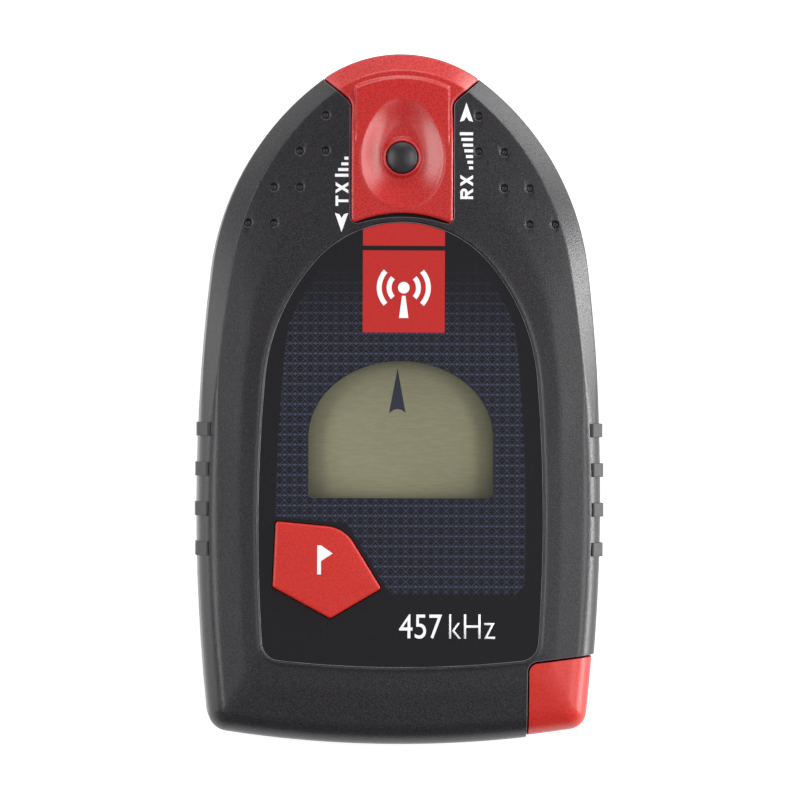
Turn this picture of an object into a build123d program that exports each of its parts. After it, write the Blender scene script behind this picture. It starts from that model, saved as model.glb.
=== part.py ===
from build123d import *
import os

# Avalanche transceiver lying on its back. Millimetres.
# +Y is the slider end, +Z the face with the display, X = 0 the centre line.

# Overall size
LENGTH = 119.0
HALF = LENGTH / 2
WALL = 2.2
SLIP = 0.2  # gap round a sliding part

# Levels above the back face
SEAM_Z = 11.0
RIM_Z = 20.9  # top of the side wall, foot of the bevel
CREASE_Z = 23.4  # top of the bevel
FACE_Z = 24.45  # ridge round the label
LABEL_Z = 24.1  # floor of the label's recess
LABEL_TOP = 24.32
CEILING_Z = 22.0  # inside of the front wall
BOARD_Z = 17.8
BOARD_TOP = 19.0
FLOOR_Z = 2.0
BACK_ROUND = 2.7

# Outlines: top, crown radius and turn, shoulder radius and turn, side radius, bottom, bottom radius, corner
CASE = (HALF, 23.05, 37.2, 47.5, 83.3, 345.0, -HALF, 197.0, 3.5)
CREASE = (56.55, 19.4, 39.0, 47.2, 80.3, 258.0, -57.3, 197.0, 2.4)
LABEL = (30.5, 19.8, 49.0, 35.4, 85.2, 297.6, -46.1, 194.0, 3.2)
RIDGE = 0.7  # width of the ridge round the label

# Side grips
GRIP_PITCH = 6.85
GRIP_FIRST_Y = -5.2
GRIP_WIDTH = 2.35
GRIP_PROUD = 0.45
GRIP_INSET = 1.9
GRIP_COUNT = 4

# Mode slider
SHANK = 8.75  # half width
HEAD = 13.15  # half width where it meets the outline
SHANK_TOP = 51.2
HEAD_FOOT = 55.0
SLIDER_FOOT = 30.4
SLIDER_ARCH = 32.0
SLIDER_BOTTOM_Z = 20.7
HEAD_BOTTOM_Z = 13.0
CHANNEL_FLOOR = 1.2
PAD_Z = 24.8
PAD_HALF = 8.0
DISH_Y = 42.5
DISH_HALF = (7.0, 9.35)
DISH_DEEP = 1.2
TONGUE = 0.8

# Lock button in the slider
LOCK_Y = 41.6
LOCK_R = 2.65
LOCK_TOP = 25.0

# Display
WINDOW_HALF = 15.9
WINDOW_FOOT = -17.0
WINDOW_SPRING = -6.5  # where the straight sides end
WINDOW_RISE = 13.1
DISPLAY_Y = -5.2
DISPLAY_SIZE = (38.0, 30.0)
GLASS_Z = 20.2

# Flag button corners, and the radius of its large corner
FLAG_CORNERS = [(-21.5, -21.0), (-9.7, -22.1), (-3.3, -32.5), (-12.1, -37.7), (-22.0, -32.3)]
FLAG_ROUND = 6.0
FLAG_SMALL_ROUND = 0.4
FLAG_TOP = 24.85
FLAG_STEM = (-13.5, -29.3)

# Corner plug at the lower right
PLUG_X = 22.3
PLUG_TOP = (-45.4, -44.3)  # its upper edge, at x = 23.8 and x = 33.3
PLUG_GAP = 0.35
PLUG_INSET = 0.4
BLADE = (28.0, 5.0, 12.7, 15.3)  # centre x, width, lowest z, highest z
BLADE_END = -33.0
LANYARD_R = 1.6
LANYARD_Y = (-56.4, -49.4)

# Battery bay and its door
CELL_R = 7.1
CELL_Y = -27.6
CELL_Z = 9.5
PAD_REACH = 4.5  # half side of the contact plates
BAY = (-29.4, 23.0, -36.0, -19.2)  # x and y limits
BAY_TOP = 16.9
RECESS = (-31.4, 25.0, -40.8, -7.0)
RECESS_Z = 2.8
DOOR_Z = 2.0
HINGE_Y = -42.6
HINGE_Z = 1.8
HINGE_X = (-23.8, 16.8)
PIN_R = 0.7
TURNLOCK = (0.0, -12.4)
TONGUE_REACH = 7.5
TONGUE_HALF = 2.2

# Fixings
BOSS_R = 3.0
BOSS_PILOT_R = 1.1
POST_R = 1.9
POST_PILOT_R = 0.7
CASE_SCREWS = [(-26.5, 20.0), (26.5, 20.0), (-26.0, -51.0), (16.0, -52.0)]
BOARD_SCREWS = [(-15.0, 25.0), (15.0, 25.0), (12.0, -43.0)]

# Antennas and sounder
LONG_X = -17.5
LONG_Y = (-2.0, 36.0)
CROSS_Y = 43.0
CROSS_HALF = 15.0
ROD_R = 3.2
COIL_R = 4.2
ROD_Z = 9.0
UPRIGHT = (12.0, 28.0)
SPEAKER = (10.0, 9.0)
SPEAKER_R = 9.0


def block(x0, x1, y0, y1, z0, z1):
    """A box by its limits."""
    box = Box(x1 - x0, y1 - y0, z1 - z0)
    return Pos((x0 + x1) / 2, (y0 + y1) / 2, (z0 + z1) / 2) * box


def rod(x, y, z0, z1, radius):
    """An upright cylinder by its limits."""
    return Pos(x, y, (z0 + z1) / 2) * Cylinder(radius, z1 - z0)


def rod_x(x0, x1, y, z, radius):
    """A cylinder along X."""
    return Pos((x0 + x1) / 2, y, z) * Rot(0, 90, 0) * Cylinder(radius, x1 - x0)


def rod_y(y0, y1, x, z, radius):
    """A cylinder along Y."""
    return Pos(x, (y0 + y1) / 2, z) * Rot(90, 0, 0) * Cylinder(radius, y1 - y0)


def slab(face, z0, z1):
    """A flat face raised between two levels."""
    return Pos(0, 0, z0) * extrude(face, z1 - z0)


def group(solids):
    """Separate solids that share one node."""
    return Compound(children=[piece.solid() for piece in solids])


def mirrored(edge):
    return edge.mirror(Plane.YZ)


def shield(outline, grow=0.0):
    """Closed shield outline: crown, shoulders, sides and a convex bottom, grown all round."""
    top, crown_r, crown_turn, shoulder_r, shoulder_turn, side_r, bottom, bottom_r, corner = outline
    half_crown = JernArc((0, top + grow), (1, 0), crown_r + grow, -crown_turn)
    crown = ThreePointArc(mirrored(half_crown) @ 1, half_crown @ 0, half_crown @ 1)
    shoulder = JernArc(half_crown @ 1, half_crown % 1, shoulder_r + grow, crown_turn - shoulder_turn)
    low = bottom - grow
    ground = CenterArc((0, low + bottom_r + grow), bottom_r + grow, 270, 20)
    flank = JernArc(shoulder @ 1, shoulder % 1, side_r + grow, -20)
    meeting = flank.intersect(ground).vertices()[0].center()
    side = flank.trim(0, flank.param_at_point(meeting))
    base = ThreePointArc(side @ 1, (0, low), mirrored(side) @ 1)
    face = make_face([crown, shoulder, side, base, mirrored(side), mirrored(shoulder)])
    return fillet(face.vertices().group_by(Axis.Y)[0], corner + grow)


def case_block(grow=0.0):
    """The closed outer form above the seam: side wall, bevel, and a face that falls to the crease."""
    rim = shield(CASE, grow)
    crease = shield(CREASE, grow)
    ridge = shield(LABEL, RIDGE)
    wall = slab(rim, SEAM_Z, RIM_Z)
    bevel = loft([Pos(0, 0, RIM_Z) * rim, Pos(0, 0, CREASE_Z) * crease], ruled=True)
    face = loft([Pos(0, 0, CREASE_Z) * crease, Pos(0, 0, FACE_Z) * ridge], ruled=True)
    return wall + bevel + face


def plug_region(gap=0.0):
    """Plan of the corner plug, or of its notch when gap is given."""
    left, right = PLUG_TOP
    corners = [
        (PLUG_X - gap, -HALF - 5),
        (PLUG_X - gap, left - 0.15 + gap),
        (PLUG_X + 18, right + 1.0 + gap),
        (PLUG_X + 18, -HALF - 5),
    ]
    face = make_face(Polyline(*corners, close=True))
    corner = face.vertices().sort_by_distance((PLUG_X, left))[0]
    return fillet(corner, 1.5 + gap)


def case_plan():
    """Plan of the two shells: the shield without the plug's notch."""
    return shield(CASE) - plug_region(PLUG_GAP)


def shrunk(face, amount):
    return offset(face, amount=-amount)


def slider_region(gap=0.0, reach=0.0):
    """Plan of the mode slider before it is trimmed to the outline."""
    foot = SLIDER_FOOT - 3 * gap
    side = SHANK + gap
    head = HEAD + gap
    right = [(side, foot), (side, SHANK_TOP - gap), (head, HEAD_FOOT - gap), (head, HALF + 1 + reach)]
    left = [(-x, y) for x, y in reversed(right)]
    arch = ThreePointArc(left[-1], (0, SLIDER_ARCH - 3 * gap), right[0])
    face = make_face([Polyline(*right, *left), arch])
    return face


def head_region(gap=0.0, reach=0.0):
    """The part of the slider's plan that forms the top end of the casing."""
    return slider_region(gap, reach) & Pos(0, SHANK_TOP - gap + 15) * Rectangle(60, 30)


def window_region(grow=0.0):
    """D-shaped plan of the display window."""
    half = WINDOW_HALF + grow
    arch = EllipticalCenterArc((0, WINDOW_SPRING), half, WINDOW_RISE + grow, arc_size=180)
    foot = WINDOW_FOOT - grow
    sides = Polyline(arch @ 1, (-half, foot), (half, foot), arch @ 0)
    face = make_face([arch, sides])
    return fillet(face.vertices().group_by(Axis.Y)[0], 0.8 + grow)


def flag_region(grow=0.0):
    """Five-sided plan of the flag button, with one large corner."""
    face = make_face(Polyline(*FLAG_CORNERS, close=True))
    large = face.vertices().sort_by_distance(FLAG_CORNERS[1])[0]
    face = fillet(large, FLAG_ROUND)
    sharp = FLAG_CORNERS[:1] + FLAG_CORNERS[2:]
    small = [face.vertices().sort_by_distance(corner)[0] for corner in sharp]
    face = fillet(small, FLAG_SMALL_ROUND)
    return offset(face, amount=grow) if grow else face


def front_shell():
    """Hollow front casing before its openings are cut."""
    plan = case_plan()
    shell = case_block() - slab(plug_region(PLUG_GAP), 0, 30)
    shell -= slab(shrunk(plan, WALL), SEAM_Z, RIM_Z - 1.4)
    shell -= slab(shrunk(plan, WALL + 2.3), SEAM_Z, CEILING_Z)
    return shell


def front_case():
    """Front casing with channel, window, button opening, screw bosses and the plug's sleeve."""
    case = front_shell()
    channel_z = SLIDER_BOTTOM_Z - SLIP
    walls = slab(shrunk(slider_region(), -2.2), channel_z - CHANNEL_FLOOR, 30)
    walls += slab(shrunk(head_region(), -2.2), SEAM_Z, 30)
    case += walls & case_block()
    for x, y in CASE_SCREWS:
        case += rod(x, y, SEAM_Z, CEILING_Z + 0.2, BOSS_R)
    for x, y in BOARD_SCREWS:
        case += rod(x, y, BOARD_TOP, CEILING_Z, POST_R)
    x, width, z0, z1 = BLADE
    case += block(x - width / 2 - 1.3, x + width / 2 + 1.3, -44.0, BLADE_END + 1.3, z0 - 1.3, z1 + 1.3)

    case -= slab(slider_region(SLIP, 10), channel_z, 30)
    case -= slab(head_region(SLIP, 10), HEAD_BOTTOM_Z - SLIP, 30)
    groove = SHANK + TONGUE + SLIP
    case -= block(-groove, groove, 32.5, SHANK_TOP + 1, 21.2, 22.5)
    case -= slab(shield(LABEL), LABEL_Z, 30)
    case -= slab(window_region(), CEILING_Z - 1, 30)
    case -= slab(flag_region(0.15), CEILING_Z - 1, 30)
    half = width / 2 + SLIP
    case -= block(x - half, x + half, -48, BLADE_END + SLIP, z0 - SLIP, z1 + SLIP)
    for x, y in CASE_SCREWS:
        case -= rod(x, y, SEAM_Z - 1, 17.2, BOSS_PILOT_R)
    for x, y in BOARD_SCREWS:
        case -= rod(x, y, BOARD_TOP - 1, 21.6, POST_PILOT_R)
    case -= seal_ring()
    return case


def seal_ring():
    """Perimeter seal, half in each shell."""
    plan = case_plan()
    ring = shrunk(plan, 0.7) - shrunk(plan, 1.6)
    return slab(ring, SEAM_Z - 0.45, SEAM_Z + 0.45)


def battery_tub():
    """Solid walls that carry the battery bay, the door's recess and the lock's pocket."""
    x0, x1, y0, y1 = RECESS
    tub = block(x0 - 1.4, x1 + 1.4, y0 - 1.4, y1 + 1.4, 0.5, 4.4)
    x0, x1, y0, y1 = BAY
    tub += block(x0 - 1.2, x1 + 1.2, y0 - 1.2, y1 + 1.2, 0.5, BAY_TOP + 0.8)
    tub += block(HINGE_X[0] - 3.2, HINGE_X[1] + 3.2, HINGE_Y - 3.4, HINGE_Y + 3, 0.5, 4.6)
    x, y = TURNLOCK
    tub += block(x - 10.2, x + 10.2, y - 5.7, y + 9.3, 0.5, 7.2)
    return tub


def battery_cuts():
    """What is taken out for the cell, the door, its barrel and the lock's tongue."""
    x0, x1, y0, y1 = RECESS
    cuts = block(x0, x1, y0, y1, -1, RECESS_Z)
    x0, x1, y0, y1 = BAY
    cuts += block(x0, x1, y0, y1, -1, BAY_TOP)
    x0, x1 = HINGE_X
    cuts += rod_x(x0 - SLIP, x1 + SLIP, HINGE_Y, HINGE_Z, HINGE_Z + 0.15)
    cuts += block(x0 - SLIP, x1 + SLIP, HINGE_Y - HINGE_Z - 0.15, HINGE_Y + HINGE_Z + 0.2, -1, HINGE_Z)
    cuts += block(x0 - SLIP, x1 + SLIP, HINGE_Y, HINGE_Y + HINGE_Z + 0.2, -1, RECESS_Z)
    x, y = TURNLOCK
    cuts += block(x - 9, x + 9, y - 4.5, y + 5.4, -1, 6.0)
    cuts += block(x - TONGUE_HALF - 0.7, x + TONGUE_REACH + 0.7, y + 5.4, y + 8.1, 3.1, 6.0)
    return cuts


def rear_case():
    """Rear casing with rounded back edge, battery bay, rod cradles and speaker grille."""
    plan = case_plan()
    case = slab(shield(CASE), 0, SEAM_Z)
    case = fillet(case.edges().group_by(Axis.Z)[0], BACK_ROUND)
    case -= slab(plug_region(PLUG_GAP), -1, 12)
    case -= slab(shrunk(plan, WALL), FLOOR_Z, SEAM_Z + 1)
    inside = slab(shield(CASE), 0.5, BAY_TOP + 1)
    case += battery_tub() & inside
    case -= battery_cuts()
    for x, y in CASE_SCREWS:
        case += rod(x, y, FLOOR_Z, SEAM_Z, 3.4)
    for y in (LONG_Y[0] + 2, LONG_Y[1] - 2):
        case += block(LONG_X - 4.5, LONG_X + 4.5, y - 0.8, y + 0.8, FLOOR_Z, 7)
    for x in (2 - CROSS_HALF, CROSS_HALF - 2):
        case += block(x - 0.8, x + 0.8, CROSS_Y - 4.5, CROSS_Y + 4.5, FLOOR_Z, 7)
    case -= rod_y(*LONG_Y, LONG_X, ROD_Z, ROD_R)
    case -= rod_x(-CROSS_HALF, CROSS_HALF, CROSS_Y, ROD_Z, ROD_R)
    for x, y in CASE_SCREWS:
        case -= rod(x, y, -1, 2.6, 2.4)
        case -= rod(x, y, -1, SEAM_Z + 1, 1.25)
    for spot in HexLocations(1.9, 3, 3):
        centre = spot.position
        case -= rod(SPEAKER[0] + centre.X, SPEAKER[1] + centre.Y, -1, FLOOR_Z + 1, 0.9)
    pin_ends = (HINGE_X[0] - 2.2, HINGE_X[1] + 2.2)
    case -= rod_x(*pin_ends, HINGE_Y, HINGE_Z, PIN_R)
    case -= seal_ring()
    return case


def side_x(y):
    """Half width of the casing beside the grips."""
    widest_y = -17.6
    return 34.75 - (y - widest_y) ** 2 / (2 * CASE[5])


def grip_nub(y):
    """One nub on the right side: a bar up the side wall, cut back along the bevel."""
    outer = side_x(y) + GRIP_PROUD
    half = GRIP_WIDTH / 2
    nub = block(outer - GRIP_INSET - GRIP_PROUD, outer, y - half, y + half, SEAM_Z + 1, CREASE_Z - 0.5)
    top = nub.edges().filter_by(Axis.Y).group_by(Axis.Z)[-1].sort_by(Axis.X)[-1]
    nub = chamfer(top, 2.1, 1.7)
    nub = fillet(nub.edges().filter_by(Axis.Y).group_by(Axis.X)[-1], 0.35)
    return nub - case_block()


def side_grips():
    """Raised nubs that wrap over the side wall and the bevel."""
    right = [grip_nub(GRIP_FIRST_Y - index * GRIP_PITCH) for index in range(GRIP_COUNT)]
    return group(right + [nub.mirror(Plane.YZ) for nub in right])


def label_overlay():
    face = shield(LABEL) - window_region() - flag_region(0.15)
    return slab(face, LABEL_Z, LABEL_TOP)


def display_window():
    lens = slab(window_region(), CEILING_Z, LABEL_TOP)
    return lens + slab(window_region(1.2), CEILING_Z - 0.7, CEILING_Z)


def display_block(width, height, z0, z1):
    return block(-width / 2, width / 2, DISPLAY_Y - height / 2, DISPLAY_Y + height / 2, z0, z1)


def lcd_frame():
    width, height = DISPLAY_SIZE
    opening = display_block(width - 2.4, height - 2.4, BOARD_TOP - 1, CEILING_Z)
    return display_block(width, height, BOARD_TOP, CEILING_Z - 0.8) - opening


def lcd_glass():
    width, height = DISPLAY_SIZE
    return display_block(width - 2.6, height - 2.6, GLASS_Z, GLASS_Z + 0.9)


def lcd_backlight():
    width, height = DISPLAY_SIZE
    return display_block(width - 2.6, height - 7.0, 19.1, 20.1)


def zebra_strips():
    """Two conductive rubber strips between board and glass."""
    width, height = DISPLAY_SIZE
    reach = height / 2 - 2.3
    strips = []
    for side in (-1, 1):
        y = DISPLAY_Y + side * reach
        strips.append(block(-17, 17, y - 0.7, y + 0.7, BOARD_TOP, GLASS_Z))
    return group(strips)


def circuit_board():
    """Board that fills the plan, with clearance round the bosses and the slider's head."""
    plan = shrunk(case_plan(), 3.2) & Pos(0, -10) * Rectangle(80, 115)
    board = slab(plan, BOARD_Z, BOARD_TOP)
    for x, y in CASE_SCREWS:
        board -= rod(x, y, 17, 20, BOSS_R + 0.4)
    for x, y in BOARD_SCREWS:
        board -= rod(x, y, 17, 20, POST_PILOT_R)
    return board


def board_chips():
    """Processor, radio, converter and amplifier packages on the board."""
    chips = [
        block(8, 16, -36, -28, BOARD_TOP, BOARD_TOP + 1.2),
        block(3, 8, 14, 19, BOARD_TOP, BOARD_TOP + 1.0),
        block(-12, -5, 13, 20, BOARD_TOP, BOARD_TOP + 1.2),
        block(-3, 3, -48, -42, BOARD_TOP, BOARD_TOP + 1.5),
        block(-20, -14, -50, -44, BOARD_TOP, BOARD_TOP + 2.0),
    ]
    return group(chips)


def screw(x, y, head_z, head_height, head_r, shank_r, tip_z):
    """Pan-head screw pointing up, with a cross slot in its head."""
    head = rod(x, y, head_z, head_z + head_height, head_r)
    head = chamfer(head.edges().group_by(Axis.Z)[0], head_height * 0.3)
    reach = head_r * 0.6
    slot = block(x - reach, x + reach, y - 0.2, y + 0.2, head_z - 1, head_z + head_height * 0.5)
    cross = Pos(x, y, 0) * Rot(0, 0, 90) * Pos(-x, -y, 0) * slot
    return head + rod(x, y, head_z + head_height, tip_z, shank_r) - slot - cross


def case_screws():
    return group([screw(x, y, 0.7, 1.9, 2.2, BOSS_PILOT_R, 17.0) for x, y in CASE_SCREWS])


def board_screws():
    return group([screw(x, y, BOARD_Z - 1.2, 1.2, 1.7, POST_PILOT_R, 21.4) for x, y in BOARD_SCREWS])


def mode_slider():
    """Slider plate and head with raised thumb pad, dish, lock bore, magnet pocket and side tongues."""
    head = slab(head_region(), HEAD_BOTTOM_Z, 30)
    plate = slab(slider_region(), SLIDER_BOTTOM_Z, 30)
    slider = (head + plate) & case_block()
    pad_plan = Pos(0, 44.5) * Rectangle(2 * PAD_HALF, 24) & shield(CREASE, -1.0) & slider_region()
    pad = slab(pad_plan, SLIDER_BOTTOM_Z + 1, PAD_Z)
    slider += chamfer(pad.edges().group_by(Axis.Z)[-1], 0.3)
    centre_z = PAD_Z + DISH_DEEP / 2
    semi = 1.5 * DISH_DEEP
    swell = 1 / (1 - (DISH_DEEP / 2 / semi) ** 2) ** 0.5
    dish = scale(Sphere(10), by=(DISH_HALF[0] * swell / 10, DISH_HALF[1] * swell / 10, semi / 10))
    slider -= Pos(0, DISH_Y, centre_z) * dish
    collar = rod(0, LOCK_Y, 22.5, PAD_Z - 0.45, LOCK_R + 0.85)
    slider += chamfer(collar.edges().group_by(Axis.Z)[-1], 0.25)
    slider -= rod(0, LOCK_Y, 20, 30, LOCK_R + 0.1)
    slider -= rod(0, LOCK_Y, 20, 22.5, LOCK_R + 0.8)
    for side in (-1, 1):
        x0, x1 = sorted((side * (SHANK - 0.5), side * (SHANK + TONGUE)))
        slider += block(x0, x1, 33, 50, 21.4, 22.3)
    slider -= magnet_block()
    return slider


def magnet_block():
    return block(-2.5, 2.5, 33.8, 36.2, SLIDER_BOTTOM_Z, SLIDER_BOTTOM_Z + 1.3)


def lock_button():
    """Domed button with a flange that keeps it in the slider and a short stem."""
    rise = 0.6
    radius = (LOCK_R ** 2 + rise ** 2) / (2 * rise)
    button = rod(0, LOCK_Y, 22.0, LOCK_TOP, LOCK_R)
    button &= Pos(0, LOCK_Y, LOCK_TOP - radius) * Sphere(radius)
    button += rod(0, LOCK_Y, 22.0, 22.4, LOCK_R + 0.65)
    return button + rod(0, LOCK_Y, 21.3, 22.0, 1.2)


def lock_retainer():
    """Ring pressed into the slider's underside that carries the lock spring."""
    return rod(0, LOCK_Y, SLIDER_BOTTOM_Z, 21.0, LOCK_R + 0.8) - rod(0, LOCK_Y, 20, 22, 1.5)


def lock_spring():
    return rod(0, LOCK_Y, 21.0, 22.0, 3.1) - rod(0, LOCK_Y, 20, 23, 2.3)


def mode_sensors():
    """Two reed capsules under the channel's floor, one for each end of the travel."""
    return group([rod_x(-5, 5, y, BOARD_Z - 1.1, 1.1) for y in (35, 41)])


def flag_button():
    """Button cap with a flange behind the front wall and a stem over the switch."""
    cap = slab(flag_region(), CEILING_Z - 0.5, FLAG_TOP)
    cap = fillet(cap.edges().group_by(Axis.Z)[-1], 0.35)
    flange = slab(flag_region(0.8), 21.1, 21.9)
    return cap + flange + rod(*FLAG_STEM, 20.5, 21.5, 1.5)


def flag_switch():
    x, y = FLAG_STEM
    body = block(x - 2.6, x + 2.6, y - 2.6, y + 2.6, BOARD_TOP, BOARD_TOP + 0.6)
    return body + rod(x, y, BOARD_TOP, BOARD_TOP + 0.9, 1.4)


def corner_plug():
    """Red corner key: outer block, a blade into the case and a lanyard bore in its lower end."""
    plan = plug_region() & shield(CASE, -PLUG_INSET)
    plug = slab(plan, 1.0, 30) & (case_block() + slab(shield(CASE), 0, SEAM_Z))
    plug = chamfer(plug.edges().group_by(Axis.Z)[0], 0.8)
    x, width, z0, z1 = BLADE
    plug += block(x - width / 2, x + width / 2, -47, BLADE_END, z0, z1)
    mouth, end = LANYARD_Y
    plug -= rod_y(-60, mouth, x, 12, 3.0)
    plug -= rod_y(mouth, end, x, 12, LANYARD_R)
    plug -= plug_magnet()
    return plug


def plug_magnet():
    return rod(BLADE[0], BLADE_END - 2.4, BLADE[2], BLADE[3], 1.5)


def plug_sensor():
    x = BLADE[0]
    return block(x - 1.5, x + 1.5, BLADE_END - 4, BLADE_END - 1, BOARD_Z - 1.0, BOARD_Z)


def battery_door():
    """Door plate with hinge barrel, relieved lower ears and a raised seat for the lock."""
    x0, x1, y0, y1 = RECESS
    gap = 0.2
    plate = block(x0 + gap, x1 - gap, y0 + gap, y1 - gap, 0, DOOR_Z)
    lower = plate.edges().filter_by(Axis.X).group_by(Axis.Y)[0].sort_by(Axis.Z)[-1]
    plate = chamfer(lower, 1.9)
    plate = fillet(plate.edges().filter_by(Axis.Z).group_by(Axis.Y)[-1], 1.5)
    h0, h1 = HINGE_X
    plate += block(h0, h1, HINGE_Y, y0 + 3, 0, DOOR_Z)
    plate += rod_x(h0, h1, HINGE_Y, HINGE_Z, HINGE_Z)
    plate -= rod_x(h0 - 1, h1 + 1, HINGE_Y, HINGE_Z, PIN_R + 0.08)
    x, y = TURNLOCK
    plate += rod(x, y, 1, 3.0, 4.2)
    plate -= rod(x, y, -1, 1.8, 3.7)
    plate -= rod(x, y, -1, 5, 2.1)
    return plate


def door_gasket():
    x0, x1, y0, y1 = BAY
    outer = block(x0 - 1.5, x1 + 1.5, y0 - 1.5, y1 + 1.5, DOOR_Z, 2.7)
    outer = fillet(outer.edges().filter_by(Axis.Z), 1.5)
    return outer - block(x0 - 0.3, x1 + 0.3, y0 - 0.3, y1 + 0.3, 1, 4)


def door_hinge_pin():
    return rod_x(HINGE_X[0] - 2.2, HINGE_X[1] + 2.2, HINGE_Y, HINGE_Z, PIN_R)


def door_lock():
    """Coin-slotted head and its shaft."""
    x, y = TURNLOCK
    head = rod(x, y, 0.2, 1.75, 3.6)
    head = chamfer(head.edges().group_by(Axis.Z)[0], 0.3)
    lock = head + rod(x, y, 1.5, 5.4, 2.0)
    return lock - block(x - 0.7, x + 0.7, y - 4, y + 4, -1, 1.2)


def lock_washer():
    return rod(*TURNLOCK, 3.05, 3.25, 3.2) - rod(*TURNLOCK, 2, 5, 2.0)


def lock_tongue():
    """Cam plate on the lock's shaft; at rest it lies inside the door's edge."""
    x, y = TURNLOCK
    arm = block(x, x + TONGUE_REACH, y - TONGUE_HALF, y + TONGUE_HALF, 3.3, 4.5)
    return arm + rod(x, y, 3.3, 4.5, 3.2) - rod(x, y, 2, 5, 2.0)


def lock_nut():
    x, y = TURNLOCK
    nut = slab(Pos(x, y) * RegularPolygon(3.2, 6), 4.5, 5.4)
    return nut - rod(x, y, 4, 6, 2.0)


def battery_cell():
    x0 = BAY[0] + 1.4
    can = rod_x(x0, x0 + 49.3, CELL_Y, CELL_Z, CELL_R)
    can = fillet(can.edges(), 0.6)
    return can + rod_x(x0 + 49.0, x0 + 50.4, CELL_Y, CELL_Z, 2.7)


def contact_spring():
    """Conical negative contact, squashed by the cell."""
    near = BAY[0] + 0.3
    spring = contact_pad(BAY[0], near)
    for radius in (3.8, 3.1, 2.4):
        far = near + 0.36
        spring += rod_x(near, far, CELL_Y, CELL_Z, radius) - rod_x(near, far, CELL_Y, CELL_Z, radius - 0.8)
        near = far
    return spring


def contact_pad(x0, x1):
    """Square plate at one end of the bay."""
    return block(x0, x1, CELL_Y - PAD_REACH, CELL_Y + PAD_REACH, CELL_Z - PAD_REACH, CELL_Z + PAD_REACH)


def contact_plate():
    return contact_pad(BAY[1] - 0.4, BAY[1])


def long_antenna_core():
    return rod_y(*LONG_Y, LONG_X, ROD_Z, ROD_R)


def long_antenna_coil():
    y0, y1 = LONG_Y
    return rod_y(y0 + 6, y1 - 6, LONG_X, ROD_Z, COIL_R) - rod_y(y0, y1, LONG_X, ROD_Z, ROD_R)


def cross_antenna_core():
    return rod_x(-CROSS_HALF, CROSS_HALF, CROSS_Y, ROD_Z, ROD_R)


def cross_antenna_coil():
    reach = CROSS_HALF - 5
    return rod_x(-reach, reach, CROSS_Y, ROD_Z, COIL_R) - rod_x(-reach, reach, CROSS_Y, ROD_Z, ROD_R)


def upright_antenna_core():
    return rod(*UPRIGHT, FLOOR_Z, 13.0, 2.5)


def upright_antenna_coil():
    return rod(*UPRIGHT, 4.0, 10.0, 6.5) - rod(*UPRIGHT, 3, 11, 2.5)


def speaker():
    x, y = SPEAKER
    basket = rod(x, y, 2.3, 4.6, SPEAKER_R) + rod(x, y, 4.6, 7.0, 5.5)
    return chamfer(basket.edges().group_by(Axis.Z)[-1], 0.4)


def speaker_membrane():
    return rod(*SPEAKER, FLOOR_Z, 2.3, SPEAKER_R - 0.5)


PIECES = [
    front_case, rear_case, case_screws, side_grips,
    label_overlay, display_window, lcd_frame, lcd_glass, lcd_backlight, zebra_strips,
    circuit_board, board_chips, board_screws,
    mode_slider, lock_button, lock_retainer, lock_spring, mode_sensors,
    flag_button, flag_switch,
    corner_plug, plug_magnet, plug_sensor,
    battery_door, door_gasket, door_hinge_pin, door_lock, lock_washer, lock_tongue, lock_nut,
    battery_cell, contact_spring, contact_plate,
    long_antenna_core, long_antenna_coil, cross_antenna_core, cross_antenna_coil,
    upright_antenna_core, upright_antenna_coil, speaker, speaker_membrane,
]


def write(name, shape):
    export_step(shape, os.path.join("parts", name + ".step"))


def main():
    os.makedirs("parts", exist_ok=True)
    for piece in PIECES:
        write(piece.__name__, piece())
    write("case_seal", seal_ring())
    write("slider_magnet", magnet_block())


main()
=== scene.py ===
from math import acos, atan2, cos, degrees, exp, hypot, log, pi, radians, sin, sqrt

import bmesh
import bpy
import numpy as np
from mathutils import Matrix, Vector, bvhtree


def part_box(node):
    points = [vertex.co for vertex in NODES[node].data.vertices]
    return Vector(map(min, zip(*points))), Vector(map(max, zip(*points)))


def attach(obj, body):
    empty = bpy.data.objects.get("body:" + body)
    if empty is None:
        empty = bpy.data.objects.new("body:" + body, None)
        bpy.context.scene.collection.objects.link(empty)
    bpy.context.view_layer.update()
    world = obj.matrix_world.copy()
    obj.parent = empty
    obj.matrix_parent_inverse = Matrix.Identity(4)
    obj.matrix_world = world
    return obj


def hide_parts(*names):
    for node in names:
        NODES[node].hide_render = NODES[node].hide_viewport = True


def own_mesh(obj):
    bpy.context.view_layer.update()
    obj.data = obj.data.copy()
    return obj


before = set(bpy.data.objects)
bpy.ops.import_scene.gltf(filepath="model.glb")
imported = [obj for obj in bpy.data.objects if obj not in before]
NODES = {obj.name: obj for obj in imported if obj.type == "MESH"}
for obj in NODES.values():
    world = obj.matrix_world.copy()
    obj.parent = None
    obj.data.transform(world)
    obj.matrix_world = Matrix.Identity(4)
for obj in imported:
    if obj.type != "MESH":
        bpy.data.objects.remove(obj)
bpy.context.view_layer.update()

MM = 0.001

# ---------------- sizes in millimetres, in the part's frame


def low(node):
    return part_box(node)[0] / MM


def high(node):
    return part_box(node)[1] / MM


HALF = high("rear_case").y
SEAM_Z = low("front_case").z
TOP_Z = high("lock_button").z
FACE_Z = 24.45
CREASE_Z = FACE_Z - 1.05
RIM_Z = CREASE_Z - 2.5
ABOVE_Z = 30.0
LABEL_Z = low("label_overlay").z
LABEL_TOP = high("label_overlay").z
CEILING_Z = 22.0
PAD_Z = 24.8

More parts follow.
